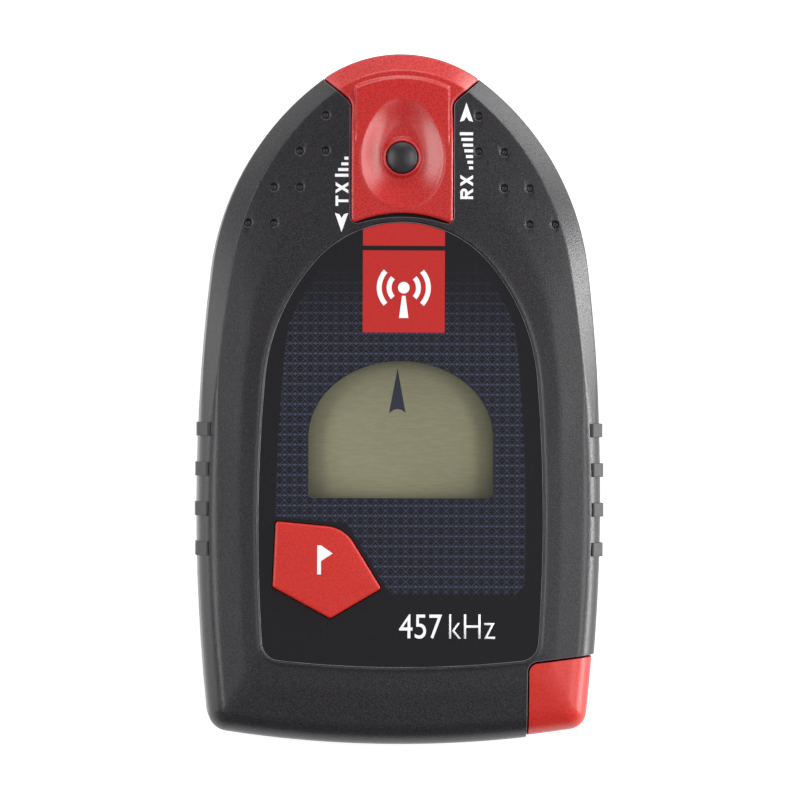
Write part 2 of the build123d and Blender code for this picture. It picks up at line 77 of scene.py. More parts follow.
# Outlines: top, crown radius and turn, shoulder radius and turn, side radius, bottom, bottom radius, corner
CASE = (HALF, 23.05, 37.2, 47.5, 83.3, 345.0, -HALF, 197.0, 3.5)
CREASE = (56.55, 19.4, 39.0, 47.2, 80.3, 258.0, -57.3, 197.0, 2.4)
LABEL = (30.5, 19.8, 49.0, 35.4, 85.2, 297.6, -46.1, 194.0, 3.2)
CROWN_Y = HALF - CASE[1]
ARC_STEPS = (26, 34, 44, 9, 26)
CORNER_STEPS = 8

# Front casing. RIDGE and DIMPLE are profiles: distance outwards and height over the face
WALL = 2.2
DOME = 0.27
KNEE = 0.6
RIDGE_FOOT = 0.7
RIDGE = ((0.60, -0.03), (0.48, 0.0), (0.36, 0.03), (0.25, 0.03), (0.15, -0.02), (0.08, -0.12),
         (0.03, -0.25))
DIMPLE = ((0.12, -0.50), (0.38, -0.46), (0.55, -0.32), (0.65, -0.12), (0.73, -0.03), (0.85, 0.01),
          (0.94, 0.06), (0.94, 0.6))
DIMPLE_X, DIMPLE_Y = 13.2, 48.8
DIMPLE_COLUMN, DIMPLE_ROW = 4.43, 6.2

# Mode slider
SHANK = 8.75
HEAD = 13.15
SHANK_TOP = 51.2
HEAD_FOOT = 55.0
SLIDER_FOOT = 30.4
SLIDER_ARCH = 32.0
SLIDER_BOTTOM_Z = low("mode_slider").z + 7.7
HEAD_BOTTOM_Z = low("mode_slider").z
SLIP = 0.2
PAD_HALF = 8.02
PAD_TURN, PAD_END, PAD_FALL = 43.0, 55.5, 0.95
DISH_Y, DISH_HALF, DISH_REACH, DISH_DEPTH = 42.5, 7.0, 9.35, 1.45
LOCK_Y = (low("lock_button").y + high("lock_button").y) / 2
LOCK_R = 2.65
LOCK_FLANGE_R = LOCK_R + 0.65

# Display window, flag button and corner plug
WINDOW_HALF = 15.9
WINDOW_FOOT = -17.0
WINDOW_SPRING = -6.5
WINDOW_RISE = 13.1
FLAG_CORNERS = [(-21.5, -21.0), (-9.7, -22.1), (-3.3, -32.5), (-12.1, -37.7), (-22.0, -32.3)]
FLAG_ROUNDS = (0.5, 6.0, 0.5, 0.5, 0.5)
PLUG_X = 22.3
PLUG_TOP = (-45.4, -44.3)
PLUG_GAP = 0.35
PLUG_INSET = 0.4
CORD_HOLE_R, CORD_HOLE_Z = 1.6, 12.0
CORD_HOLE_MOUTH, CORD_HOLE_END = -56.4, -49.4

# Print. The mesh field's margins are arcs: centre and radius
PRINT_THICK = 0.02
PRINT_Z = LABEL_TOP + 0.003
CAPITAL_HEIGHT, CAPITAL_STROKE = 2.2, 0.46
LEGENDS_LEFT, LEGENDS_RIGHT = -9.25, 12.2
BLOCK_X, BLOCK_HALF, BLOCK_FOOT, BLOCK_HEAD, CAP_FOOT = 0.35, 7.05, 11.5, 25.6, 26.4
SIGN_Y = 19.2
FIELD_SIDE = (-273.09, -21.64, 294.6)
FIELD_SHOULDER = (-11.77, 0.36, 33.6)
FLAG_MARGIN = 0.8
DISPLAY_Y = -5.2


# ---------------- outlines


def circle(steps):
    """Angles of a full turn."""
    return np.linspace(0, 2 * pi, steps, endpoint=False)


def arch_radius(half, rise):
    """Radius of an arc over a chord."""
    return (half ** 2 + rise ** 2) / (2 * rise)


def unit(ways):
    """Each row at length one."""
    return ways / np.linalg.norm(ways, axis=1)[:, None]


def bearing(turn):
    """Direction of an angle in degrees clockwise from +Y."""
    return np.array([sin(radians(turn)), cos(radians(turn))])


def arc_points(centre, radius, start, end, steps):
    """Points on an arc, with angles in degrees clockwise from +Y."""
    angles = np.radians(np.linspace(start, end, steps, endpoint=False))
    return np.stack([centre[0] + radius * np.sin(angles), centre[1] + radius * np.cos(angles)], 1)


def shield(outline, grow=0.0):
    """Shield outline as a closed loop, clockwise from the crown. Equal steps on every outline."""
    top, crown_r, turn1, shoulder_r, turn2, side_r, bottom, base_r, corner = outline
    crown_r, shoulder_r, side_r, base_r = (r + grow for r in (crown_r, shoulder_r, side_r, base_r))
    corner = max(corner + grow, 0.4)
    crown = np.array([0.0, top + grow - crown_r])
    shoulder = crown + (crown_r - shoulder_r) * bearing(turn1)
    side = shoulder + (shoulder_r - side_r) * bearing(turn2)
    base = np.array([0.0, bottom - grow + base_r])
    # the corner arc touches the side arc and the base arc from inside
    reach_a, reach_b = side_r - corner, base_r - corner
    apart = base - side
    span = np.linalg.norm(apart)
    along = (reach_a ** 2 - reach_b ** 2 + span ** 2) / (2 * span)
    off = sqrt(max(reach_a ** 2 - along ** 2, 0))
    ahead = apart / span
    options = [side + along * ahead + s * off * np.array([-ahead[1], ahead[0]]) for s in (-1, 1)]
    spot = min(options, key=lambda p: p[1])
    turn3 = degrees(atan2(*(spot - side)))
    turn4 = degrees(atan2(*(spot - base)))
    n1, n2, n3, n4, n5 = ARC_STEPS
    right = np.concatenate([
        arc_points(crown, crown_r, 0, turn1, n1),
        arc_points(shoulder, shoulder_r, turn1, turn2, n2),
        arc_points(side, side_r, turn2, turn3, n3),
        arc_points(spot, corner, turn3, turn4, n4),
        arc_points(base, base_r, turn4, 180, n5),
        [[0.0, bottom - grow]],
    ])
    left = right[1:-1][::-1] * [-1, 1]
    return np.concatenate([right, left])


def rounded(corners, rounds, steps=CORNER_STEPS):
    """A polygon with an arc at each corner."""
    points = []
    count = len(corners)
    for i, (corner, radius) in enumerate(zip(corners, rounds)):
        here = np.array(corner, float)
        if radius == 0:
            points.append(here)
            continue
        before = np.array(corners[i - 1], float) - here
        after = np.array(corners[(i + 1) % count], float) - here
        before /= np.linalg.norm(before)
        after /= np.linalg.norm(after)
        half_angle = acos(float(np.clip(before @ after, -1, 1))) / 2
        reach = radius / np.tan(half_angle)
        middle = before + after
        middle /= np.linalg.norm(middle)
        centre = here + middle * radius / sin(half_angle)
        start, end = here + before * reach - centre, here + after * reach - centre
        for t in np.linspace(0, 1, steps):
            way = start * (1 - t) + end * t
            points.append(centre + way * radius / np.linalg.norm(way))
    return np.array(points)


def window_outline(grow=0.0):
    """D-shaped display window."""
    half, rise, foot = WINDOW_HALF + grow, WINDOW_RISE + grow, WINDOW_FOOT - grow
    angles = np.linspace(0, pi, 64)
    arch = np.stack([half * np.cos(angles), WINDOW_SPRING + rise * np.sin(angles)], 1)
    lower = rounded([(-half, 0), (-half, foot), (half, foot), (half, 0)], [0.8 + grow] * 4)
    return np.concatenate([arch, lower[CORNER_STEPS:3 * CORNER_STEPS]])


def slider_outline(gap=0.0, reach=0.0):
    """Plan of the slider's channel: arched foot, shank, diagonals and an open top end."""
    side, foot = SHANK + gap, SLIDER_FOOT - 3 * gap
    head, top = HEAD + gap, HALF + 1 + reach
    rise = SLIDER_ARCH - SLIDER_FOOT
    radius = arch_radius(side, rise)
    arch = []
    for x in np.linspace(1.6 - side, side - 1.6, 21):
        arch.append((x, foot + rise - radius + sqrt(radius ** 2 - x ** 2)))
    right = [(side, foot), (side, SHANK_TOP - gap), (head, HEAD_FOOT - gap), (head, top)]
    left = [(-x, y) for x, y in reversed(right)]
    foot_round = 0.7 + 2 * gap
    rounds = [0] * len(arch) + [foot_round, 1.3, 0, 0, 0, 0, 1.3, foot_round]
    return rounded(arch + right + left, rounds)


def head_outline(gap=0.0, reach=0.0, deeper=0.0):
    """The part of the slider's plan above its shank."""
    top = HALF + 1 + reach
    foot = SHANK_TOP - gap - deeper
    right = [(SHANK + gap, foot), (HEAD + gap, HEAD_FOOT - gap), (HEAD + gap, top)]
    return np.array(right + [(-x, y) for x, y in reversed(right)])


def plug_outline(gap=0.0):
    """Plan of the corner plug's notch."""
    left, right = PLUG_TOP
    corners = [(PLUG_X - gap, -HALF - 5), (PLUG_X - gap, left - 0.15 + gap),
               (PLUG_X + 18, right + 1.0 + gap), (PLUG_X + 18, -HALF - 5)]
    return rounded(corners, [0.01, 1.5 + gap, 0.01, 0.01])


def inset_loop(loop, amount):
    """A loop moved inwards along its normals. Only for small amounts."""
    area = np.sum(loop[:, 0] * np.roll(loop[:, 1], -1) - np.roll(loop[:, 0], -1) * loop[:, 1])
    tangent = unit(np.roll(loop, -1, 0) - np.roll(loop, 1, 0))
    inward = np.stack([-tangent[:, 1], tangent[:, 0]], 1) * np.sign(area)
    return loop + inward * amount


# ---------------- meshes


def placed(name, data):
    """A new object in the scene."""
    thing = bpy.data.objects.new(name, data)
    bpy.context.scene.collection.objects.link(thing)
    return thing


def evaluated(thing):
    """A new mesh from an object with its modifiers applied."""
    graph = bpy.context.evaluated_depsgraph_get()
    return bpy.data.meshes.new_from_object(thing.evaluated_get(graph))


def piece(name, mesh, body, material, replaced=()):
    """A mesh as a piece that rides on a body."""
    thing = placed(name, mesh)
    mesh.materials.clear()
    mesh.materials.append(material)
    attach(thing, body)
    if replaced:
        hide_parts(*replaced)
    return thing


def smooth(mesh, angle=35):
    mesh.shade_smooth()
    mesh.set_sharp_from_angle(angle=radians(angle))
    return mesh


def strip(a, b, count):
    """Quads between two loops that start at the points a and b."""
    faces = []
    for i in range(count):
        j = (i + 1) % count
        faces.append((a + i, a + j, b + j, b + i))
    return faces


def mesh_of(name, points, faces):
    """A mesh from points in millimetres, with its faces turned outwards."""
    mesh = bpy.data.meshes.new(name)
    mesh.from_pydata([Vector(p) * MM for p in points], [], faces)
    work = bmesh.new()
    work.from_mesh(mesh)
    bmesh.ops.recalc_face_normals(work, faces=work.faces)
    work.to_mesh(mesh)
    work.free()
    mesh.validate()
    return mesh


def loft(name, rings):
    """Quads between rings of equal length, with flat caps on the first and the last."""
    count = len(rings[0])
    faces = []
    for r in range(len(rings) - 1):
        faces += strip(r * count, (r + 1) * count, count)
    faces.append(tuple(range(count)))
    faces.append(tuple(range((len(rings) - 1) * count, len(rings) * count)))
    return mesh_of(name, np.concatenate(rings), faces)


def lift(loop, z):
    """A plan loop at one level, or at one level per point."""
    return np.column_stack([loop, np.broadcast_to(z, len(loop))])


def prism(name, loop, z0, z1):
    return loft(name, [lift(loop, z0), lift(loop, z1)])


def lathe(name, profile, centre, steps=96):
    """A solid turned about a vertical axis from radius and height pairs."""
    angles = circle(steps)
    rings = []
    for radius, z in profile:
        ring = np.stack([centre[0] + radius * np.cos(angles), centre[1] + radius * np.sin(angles)], 1)
        rings.append(lift(ring, z))
    return loft(name, rings)


def bead(radius, z, size, steps=6):
    """Radius and height pairs of a rounded outer edge under a flat top."""
    turns = np.linspace(0, pi / 2, steps)
    return [(radius - size + size * cos(t), z - size + size * sin(t)) for t in turns]


def carve(mesh, cuts, operation="DIFFERENCE"):
    """The mesh after a boolean with each of the other meshes."""
    base = placed("carve_base", mesh)
    tools = [placed("carve_tool", cut) for cut in cuts]
    for tool in tools:
        modifier = base.modifiers.new("carve", "BOOLEAN")
        modifier.operation = operation
        modifier.solver = "MANIFOLD"
        modifier.object = tool
    result = evaluated(base)
    for thing in [base, *tools]:
        bpy.data.objects.remove(thing)
    return result


def bezier(start, corner, end, steps):
    """A rounded corner between two points."""
    ts = np.linspace(0, 1, steps)
    return [start * (1 - t) ** 2 + corner * 2 * t * (1 - t) + end * t ** 2 for t in ts]


def ease(x, start, end):
    """0 before start, 1 after end and smooth between them."""
    t = np.clip((x - start) / (end - start), 0.0, 1.0)
    return t * t * (3 - 2 * t)


# ---------------- front casing


def face_rise(t):
    """Rise of the face over a straight section from the crease to the label, with a soft knee."""
    outer, inner = t / KNEE, (1 - t) / (1 - KNEE)
    return -DOME * log(exp(-12 * outer) + exp(-12 * inner)) / 12


def bevel_rings(inset=0.0, extra=0.0):
    """Side wall, bevel and domed face up to the label's ridge. The edges grow softer to the lower end."""
    plan = shield(CASE, -inset)
    seam, rim = lift(plan, SEAM_Z), lift(plan, RIM_Z)
    crease = lift(shield(CREASE, -inset), CREASE_Z)
    foot = lift(shield(LABEL, RIDGE_FOOT), FACE_Z - 0.06)
    soft = ease(plan[:, 1], 8.0, -10.0)[:, None]
    up = np.array([[0.0, 0.0, 1.0]])
    bevel = unit(crease - rim)
    face = unit(foot - crease)
    width = np.linalg.norm(crease - rim, axis=1)[:, None]
    low_round = np.minimum(0.3 + (1.5 + extra) * soft, width * 0.45)
    high_round = np.minimum(0.2 + (1.7 + extra) * soft, width * 0.5)
    rings = [seam]
    rings += bezier(rim - up * low_round, rim, rim + bevel * low_round, 7)
    rings += bezier(crease - bevel * high_round, crease, crease + face * high_round * (1 + extra), 9)
    start = rings[-1]
    for t in np.linspace(0, 1, 20)[1:]:
        rings.append(start * (1 - t) + foot * t + up * face_rise(t) * (1 - 0.5 * soft))
    return rings


def front_rings(inset=0.0):
    """Outer surface of the front casing from the seam to the label's recess."""
    rings = bevel_rings(inset)
    for grow, z in RIDGE:
        rings.append(lift(shield(LABEL, grow), FACE_Z + z - inset))
    rings.append(lift(shield(LABEL, 0.02), LABEL_Z - inset))
    return rings


def front_shell():
    """Closed hollow shell: the outer rings, and an inner wall and ceiling."""
    rings = front_rings()
    inner = [
        lift(shield(CREASE, -2.0), CEILING_Z),
        lift(shield(CREASE, -1.6), CEILING_Z - 0.4),
        lift(shield(CASE, -WALL), RIM_Z - 1.5),
        lift(shield(CASE, -WALL), SEAM_Z),
    ]
    count = len(rings[0])
    order = rings + inner
    last = len(rings) - 1
    faces = []
    for r in range(len(order) - 1):
        if r != last:
            faces += strip(r * count, (r + 1) * count, count)
    faces.append(tuple(last * count + i for i in range(count)))
    faces.append(tuple((last + 1) * count + i for i in range(count)))
    faces += strip((len(order) - 1) * count, 0, count)
    return mesh_of("front_shell", np.concatenate(order), faces)


def surface_finder():
    """Height of the uncut outer surface above a point."""
    shell = loft("surface", front_rings())
    faces = [p.vertices[:] for p in shell.polygons]
    tree = bvhtree.BVHTree.FromPolygons([v.co[:] for v in shell.vertices], faces)

    def height(x, y):
        hit = tree.ray_cast(Vector((x, y, 40)) * MM, Vector((0, 0, -1)))
        return hit[0].z / MM if hit[0] is not None else RIM_Z

    return height


surface_z = surface_finder()


def dimple_spots():
    """Staircase of seven dimples each side of the slider."""
    spots = [(DIMPLE_X, DIMPLE_Y), (DIMPLE_X, DIMPLE_Y - DIMPLE_ROW + 0.1)]
    for step in range(1, 4):
        spots.append((DIMPLE_X + DIMPLE_COLUMN * step, DIMPLE_Y - DIMPLE_ROW * step))
        if step < 3:
            spots.append((DIMPLE_X + DIMPLE_COLUMN * step, DIMPLE_Y - DIMPLE_ROW * (step + 1)))
    return [(side * x, y) for x, y in spots for side in (-1, 1)]


def dimple(x, y):
    """A cone with a rounded tip, set into the surface."""
    z = surface_z(x, y)
    return lathe("dimple", [(r, z + h) for r, h in DIMPLE], (x, y), 32)


def joined(name, meshes):
    """Several meshes as one."""
    work = bmesh.new()
    for mesh in meshes:
        work.from_mesh(mesh)
    result = bpy.data.meshes.new(name)
    work.to_mesh(result)
    work.free()
    return result


def blade_box(margin, y0):
    """The corner plug's blade as a block, grown by a margin."""
    x = (low("plug_magnet").x + high("plug_magnet").x) / 2
    z0, z1 = low("plug_magnet").z - margin, high("plug_magnet").z + margin
    half, y1 = 2.5 + margin, high("corner_plug").y + margin
    plan = np.array([(x - half, y0), (x + half, y0), (x + half, y1), (x - half, y1)])
    return prism("blade", plan, z0, z1)


def front_case_mesh():
    """Front casing with the slider's channel, its openings, the plug's notch and the dimples."""
    channel_z = SLIDER_BOTTOM_Z - SLIP
    liners = [
        prism("floor", slider_outline(WALL), channel_z - 1.2, CEILING_Z + 0.4),
        prism("pocket", head_outline(WALL, 0, 1.0), SEAM_Z + 0.1, RIM_Z + 0.5),
        prism("notch_wall", plug_outline(PLUG_GAP + 1.9), SEAM_Z + 0.1, CEILING_Z + 0.4),
    ]
    liners = [carve(liner, [loft("core", front_rings(0.4))], "INTERSECT") for liner in liners]
    shell = carve(front_shell(), liners + [blade_box(1.3, -44.0)], "UNION")
    cuts = [
        prism("channel", slider_outline(SLIP, 10), channel_z, ABOVE_Z),
        prism("head", head_outline(SLIP, 10), HEAD_BOTTOM_Z - SLIP, ABOVE_Z),
        prism("window", window_outline(0.02), CEILING_Z - 1, ABOVE_Z),
        prism("flag", inset_loop(rounded(FLAG_CORNERS, FLAG_ROUNDS), -0.16), CEILING_Z - 1, ABOVE_Z),
        prism("notch", plug_outline(PLUG_GAP), 0, ABOVE_Z),
        blade_box(SLIP, -50.0),
        joined("dimples", [dimple(x, y) for x, y in dimple_spots()]),
    ]
    return smooth(carve(shell, cuts), 30)


def film_edge_mesh():
    """Cut edge of the label's clear film: a fine bead round the panel. Its pale grey material is a painted
    highlight.
    """
    rings = [lift(shield(LABEL, grow), LABEL_TOP + z) for grow, z in
             ((-0.08, -0.06), (-0.08, 0.03), (-0.05, 0.06), (0.0, 0.06), (0.03, 0.03), (0.03, -0.06))]
    count = len(rings[0])
    faces = []
    for r in range(len(rings)):
        faces += strip(r * count, (r + 1) % len(rings) * count, count)
    return smooth(mesh_of("film_edge", np.concatenate(rings), faces), 50)


def spaced(path, step=0.4):
    """Points along an open path, a step apart."""
    run = np.concatenate([[0], np.cumsum(np.linalg.norm(np.diff(path, axis=0), axis=1))])
    stops = np.linspace(0, run[-1], int(run[-1] / step))
    return np.stack([np.interp(stops, run, path[:, axis]) for axis in (0, 1)], 1)


def cut_edge(path, thick=0.07):
    """Rounded lip of a cut in the casing: a fine pale bead, a painted highlight, along the part of a path
    that is on the casing.
    """
    path = np.array([p for p in spaced(path) if surface_z(*p) > RIM_Z + 0.1])
    along = np.gradient(path, axis=0)
    side = unit(np.stack([along[:, 1], -along[:, 0]], 1))
    level = np.array([surface_z(*p) - 0.02 for p in path])
    around = circle(8)
    rings = []
    for spot, way, z in zip(path, side, level):
        plan = spot + np.outer(thick * np.cos(around), way)
        rings.append(lift(plan, z + thick * np.sin(around)))
    return smooth(loft("cut_edge", rings), 60)


def cut_edges_mesh():
    """Lips of the slider's channel and of the corner plug's notch: pale beads that paint the highlight on
    their rounded edges.
    """
    channel = slider_outline(SLIP + 0.03)
    start = int(np.argmax(channel[:, 1] - 0.01 * channel[:, 0]))
    channel = np.roll(channel, -start, axis=0)
    notch = plug_outline(PLUG_GAP + 0.03)[:3 * CORNER_STEPS]
    return joined("cut_edges", [cut_edge(channel), cut_edge(notch)])


# ---------------- mode slider


def slider_half_width(y):
    """Half width of the slider's plan, with the turn into the head rounded."""
    t = np.clip((y - SHANK_TOP) / (HEAD_FOOT - SHANK_TOP), 0, 1)
    straight = SHANK + (HEAD - SHANK) * t
    turn = 1.8
    into = np.clip((y - SHANK_TOP + turn / 2) / turn, 0, 1)
    bent = SHANK + into * into * 0.5 * (HEAD - SHANK) * turn / (HEAD_FOOT - SHANK_TOP)
    return np.where(y < SHANK_TOP + turn / 2, bent, straight)


def slider_top(x, y, edge):
    """Height of the slider's upper surface. edge is the distance to its rim."""
    case = surface_z(x, y) + 0.04
    out = hypot(x, max(y - CROWN_Y, 0))
    pad_r = PAD_END - CROWN_Y
    pad = PAD_Z - PAD_FALL * max((y - PAD_TURN) / (PAD_END - PAD_TURN), 0.0) ** 2
    side = ease(abs(x), PAD_HALF - 0.1, PAD_HALF + 0.1)
    end = ease(out, pad_r - 0.45, pad_r + 0.4)
    sunk = ease(y, PAD_TURN, PAD_TURN + 7.0)
    flank = pad * (1 - sunk) + case * sunk
    z = pad * (1 - side) + flank * side
    z = z * (1 - end) + case * end
    tall = (y - DISH_Y) / DISH_REACH
    rho = hypot(x / (DISH_HALF * (1 - 0.11 * tall)), tall)
    if rho < 1:
        z -= DISH_DEPTH * (1 - 0.3 * rho ** 2 - 0.7 * ease(rho, 0.45, 1.12) / ease(1.0, 0.45, 1.12))
    z += 0.07 * exp(-((rho - 1.02) / 0.022) ** 2) * ease(-tall, -0.9, 0.2)
    ring = hypot(x, y - LOCK_Y)
    z += 0.62 * ease(ring, 3.75, 3.0)
    rim = 0.4
    if edge < rim:
        z -= rim - sqrt(max(rim ** 2 - (rim - edge) ** 2, 0))
    return z


def slider_mesh():
    """Slider as one closed grid: upper surface, side walls and a stepped underside."""
    across, along, corner = 150, 220, 0.7
    foot_r = arch_radius(SHANK, SLIDER_ARCH - SLIDER_FOOT)
    end_y = CROWN_Y + sqrt(CASE[1] ** 2 - HEAD ** 2)
    top_points, low_points = [], []
    even = np.linspace(-1, 1, across)
    us = np.sin(even * pi / 2) * 0.35 + even * 0.65
    dense_foot, dense_end = [0, 0.002, 0.005, 0.009, 0.014], [0.989, 0.993, 0.996, 0.9985, 1.0]
    fs = np.concatenate([dense_foot, np.linspace(0.02, 0.985, along - 10), dense_end])
    for f in fs:
        for u in us:
            y_low = SLIDER_ARCH - foot_r + sqrt(foot_r ** 2 - (u * SHANK) ** 2)
            y_top = CROWN_Y + sqrt(CASE[1] ** 2 - (u * HEAD) ** 2)
            y = y_low * (1 - f) + y_top * f
            rim_y = SLIDER_FOOT * (1 - f) + end_y * f
            width = float(slider_half_width(rim_y))
            into = corner * max(0.0, 1 - (rim_y - SLIDER_FOOT) / corner)
            width -= corner - sqrt(max(corner ** 2 - into ** 2, 0))
            x = u * width
            edge = min((1 - abs(u)) * width, y - y_low)
            top_points.append((x, y, slider_top(x, y, edge)))
            low_points.append((x, y, HEAD_BOTTOM_Z if y > SHANK_TOP and f > 0.8 else SLIDER_BOTTOM_Z))
    rows = len(fs)
    count = rows * across
    faces = []
    for r in range(rows - 1):
        for i in range(across - 1):
            a = r * across + i
            faces.append((a, a + 1, a + across + 1, a + across))
            faces.append((count + a, count + a + across, count + a + across + 1, count + a + 1))
    rim = list(range(across))
    rim += [r * across + across - 1 for r in range(1, rows)]
    rim += [(rows - 1) * across + i for i in range(across - 2, -1, -1)]
    rim += [r * across for r in range(rows - 2, 0, -1)]
    for a, b in zip(rim, rim[1:] + rim[:1]):
        faces.append((a, b, count + b, count + a))
    mesh = mesh_of("slider", top_points + low_points, faces)
    close, wide = LOCK_R + 0.12, LOCK_R + 0.3
    profile = [(close, SLIDER_BOTTOM_Z - 2), (close, 23.9), (wide, 24.35), (wide, ABOVE_Z)]
    return smooth(carve(mesh, [lathe("hole", profile, (0, LOCK_Y))]), 40)


def lock_button_mesh():
    """Domed button over a flange and a stem."""
    rise, rim, axis_r, stem_r = 0.75, 0.3, 0.02, 1.2
    flange_low, flange_top = 22.0, 22.4
    radius = arch_radius(LOCK_R, rise)
    dome = []
    for t in np.linspace(0, 1, 14):
        r = (LOCK_R - rim) * (1 - t)
        dome.append((max(r, axis_r), TOP_Z - radius + sqrt(radius ** 2 - r ** 2)))
    wall_top = dome[0][1] - 0.05
    profile = [(axis_r, 21.3), (stem_r, 21.3), (stem_r, flange_low), (LOCK_FLANGE_R, flange_low),
               (LOCK_FLANGE_R, flange_top), (LOCK_R, flange_top)]
    profile += bead(LOCK_R, wall_top, rim)[:-1] + dome
    return smooth(lathe("lock_button", profile, (0, LOCK_Y)), 40)


def lock_coil_mesh():
    """Return spring of the lock button: a low coil of fine wire."""
    wire, turns, steps = 0.09, 2.4, 150
    seat, reach = low("lock_spring").z + 0.03 + wire, high("lock_spring").z - 0.05 - wire
    coil_r = 2.7
    around = circle(10)
    rings = []
    for t in np.linspace(0, 1, steps):
        angle, z = t * turns * 2 * pi, seat + (reach - seat) * t
        out = coil_r + wire * np.cos(around)
        rings.append(np.stack([out * cos(angle), LOCK_Y + out * sin(angle), z + wire * np.sin(around)], 1))
    return smooth(loft("lock_coil", rings), 60)


# ---------------- flag button and corner plug


def flag_button_mesh():
    """Pentagon cap with a rounded rim and a faint crown, over a flange."""
    plan = rounded(FLAG_CORNERS, FLAG_ROUNDS, 12)
    top = high("flag_button").z
    centre = plan.mean(0)
    rings = [lift(inset_loop(plan, -0.8), 21.1), lift(inset_loop(plan, -0.8), 21.9), lift(plan, 21.95)]
    size = 0.42
    for t in np.linspace(0, pi / 2, 8):
        rings.append(lift(inset_loop(plan, size * (1 - cos(t))), top - 0.1 - size + size * sin(t)))
    inner = inset_loop(plan, size)
    for share in (0.9, 0.75, 0.55, 0.3, 0.1):
        rings.append(lift(centre + (inner - centre) * share, top - 0.1 * share ** 2))
    return smooth(loft("flag_button", rings), 35)


def rod_y(x, z, radius, y0, y1, steps=40):
    """A round bar along Y."""
    angles = circle(steps)
    xs, zs = x + radius * np.cos(angles), z + radius * np.sin(angles)
    return loft("rod", [np.stack([xs, np.full(steps, y), zs], 1) for y in (y0, y1)])


def corner_plug_mesh():
    """Corner plug that carries on the casing's rounded form, with its blade, magnet hole and cord hole."""
    foot, foot_round = low("corner_plug").z, 0.8
    rings = []
    for t in np.linspace(0, pi / 2, 6):
        plan = shield(CASE, -PLUG_INSET - foot_round * (1 - sin(t)))
        rings.append(lift(plan, foot + foot_round * (1 - cos(t))))
    rings += bevel_rings(PLUG_INSET, 0.9)
    body = carve(loft("plug_body", rings), [prism("plug_plan", plug_outline(), -1, ABOVE_Z)], "INTERSECT")
    body = carve(body, [blade_box(0.0, -47.0)], "UNION")
    magnet = (low("plug_magnet") + high("plug_magnet")) / 2
    hole = lathe("hole", [(1.5, magnet.z - 3), (1.5, magnet.z + 3)], (magnet.x, magnet.y), 48)
    recess = rod_y(magnet.x, CORD_HOLE_Z, 3.0, -HALF - 2.5, CORD_HOLE_MOUTH)
    bore = rod_y(magnet.x, CORD_HOLE_Z, CORD_HOLE_R, CORD_HOLE_MOUTH - 0.2, CORD_HOLE_END)
    return smooth(carve(body, [hole, recess, bore]), 30)


# ---------------- print


def thicken(mesh, weld=False):
    """Flat faces grown upwards to the print's thickness."""
    work = bmesh.new()
    work.from_mesh(mesh)
    if weld:
        bmesh.ops.remove_doubles(work, verts=work.verts, dist=0.002 * MM)
    for face in work.faces:
        if face.normal.z < 0:
            face.normal_flip()
    grown = bmesh.ops.extrude_face_region(work, geom=work.faces[:])
    for v in [g for g in grown["geom"] if isinstance(g, bmesh.types.BMVert)]:
        v.co.z += PRINT_THICK * MM
    bmesh.ops.recalc_face_normals(work, faces=work.faces)
    work.to_mesh(mesh)
    work.free()
    return mesh


def flat(name, loops, level=None):
    """Thin printed shapes at one level, or following the casing's surface. Each loop becomes a face."""
    points, faces = [], []
    for loop in loops:
        start = len(points)
        for x, y in loop:
            points.append((x, y, surface_z(x, y) + 0.035 if level is None else level))
        faces.append(tuple(range(start, len(points))))
    return thicken(mesh_of(name, points, faces))


def text_mesh(name, words, size, place, width, weight=0.0):
    """Lettering as a thin mesh on the label, fitted to a width."""
    curve = bpy.data.curves.new(name, "FONT")
    curve.body = words
    curve.size = 1
    curve.offset = weight
    curve.align_x = "LEFT"
    thing = placed(name, curve)
    mesh = evaluated(thing)
    bpy.data.objects.remove(thing)
    co = np.array([v.co for v in mesh.vertices])
    span = co.max(0) - co.min(0)
    co = (co - co.min(0)) * [width / span[0], size / span[1], 0]
    for v, (x, y, _) in zip(mesh.vertices, co):
        v.co = Vector((x + place[0], y + place[1], PRINT_Z)) * MM
    return thicken(mesh, weld=True)


def letter_t(w, h, stroke):
    """Stem under a bar, drawn from the lower left corner of its box."""
    arm = (w - stroke) / 2
    return [[(arm, 0), (arm + stroke, 0), (arm + stroke, h - stroke), (w, h - stroke), (w, h), (0, h),
             (0, h - stroke), (arm, h - stroke)]]


def letter_x(w, h, stroke):
    cut = stroke * 1.25
    rise = h * cut / (2 * (w - cut))
    return [[(0, 0), (cut, 0), (w / 2, h / 2 - rise), (w - cut, 0), (w, 0), ((w + cut) / 2, h / 2), (w, h),
             (w - cut, h), (w / 2, h / 2 + rise), (cut, h), (0, h), ((w - cut) / 2, h / 2)]]


def letter_r(w, h, stroke):
    """Stem, bowl and leg, side by side."""
    bowl_r = h * 0.29
    middle, turn_x = h - 2 * bowl_r, w - bowl_r
    angles = np.linspace(pi / 2, -pi / 2, 12)
    outer = [(turn_x + bowl_r * cos(a), h - bowl_r + bowl_r * sin(a)) for a in angles]
    inner = [(turn_x + (bowl_r - stroke) * cos(a), h - bowl_r + (bowl_r - stroke) * sin(a)) for a in angles]
    stem = [(0, 0), (stroke, 0), (stroke, h), (0, h)]
    bowl = [(stroke, h), *outer, (stroke, middle), (stroke, middle + stroke), *inner[::-1],
            (stroke, h - stroke)]
    leg = [(w * 0.35, middle), (w - stroke * 1.2, 0), (w, 0), (w * 0.35 + stroke * 1.2, middle)]
    return [stem, bowl, leg]


def capitals(letters, x, y, gap=0.4):
    """Bold capitals that read up the casing, standing on a line at x. Each has its own width."""
    loops = []
    for shape, width in letters:
        for loop in shape(width, CAPITAL_HEIGHT, CAPITAL_STROKE):
            loops.append([(x - v, y + u) for u, v in loop])
        y += width + gap
    return loops


